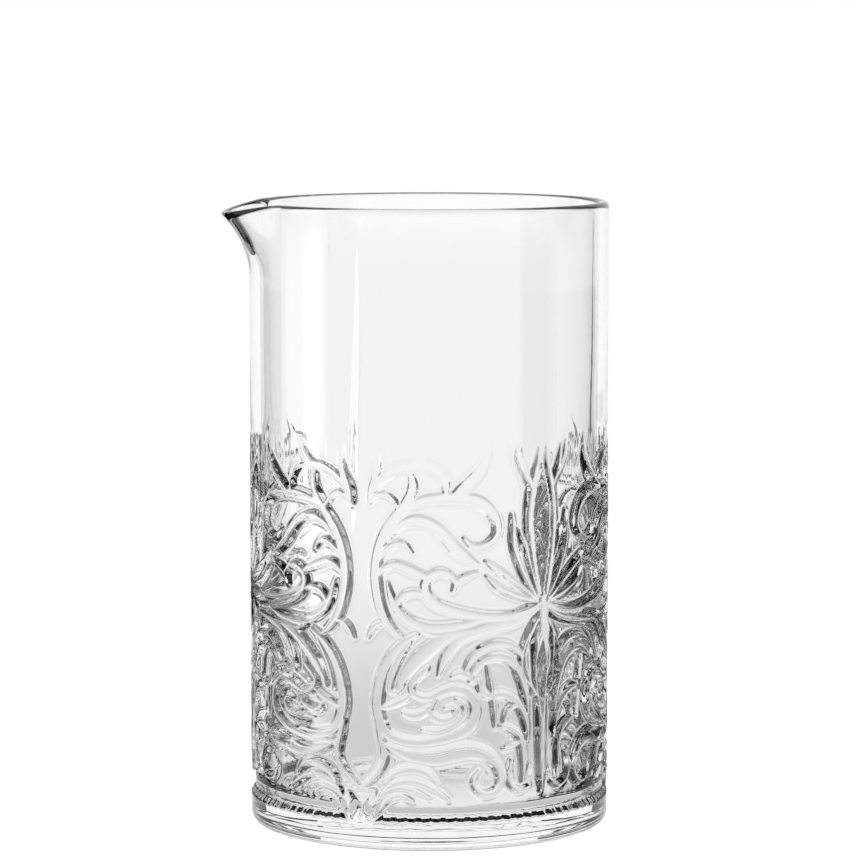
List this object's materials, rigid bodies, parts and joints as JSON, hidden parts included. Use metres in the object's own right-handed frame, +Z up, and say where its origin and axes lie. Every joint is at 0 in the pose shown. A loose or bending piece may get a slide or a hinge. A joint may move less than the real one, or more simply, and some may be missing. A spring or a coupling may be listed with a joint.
{
  "type": "mixing glass",
  "caption": "Clear pressed-glass bar mixing glass: straight cylinder with a thick base, a drawn pouring spout and a raised scroll and palmette band, for stirring and pouring drinks",
  "frame": {"origin": "centre of the circular resting face under the base, on the body's axis", "axes": "+Z up the body's axis to the mouth, -X towards the pouring spout, Y across the spout"},
  "size_m": [0.0952, 0.088, 0.153],
  "materials": {
    "glass": "fire-polished clear glass"
  },
  "bodies": {
    "root": {"base": "glass", "floor_fillet_ring": "glass", "wall": "glass", "rim": "glass", "spout": "glass", "palmettes": "glass", "upper_scrolls": "glass", "lower_scrolls": "glass", "stem_leaves": "glass", "foot_leaves": "glass"}
  },
  "joints": []
}
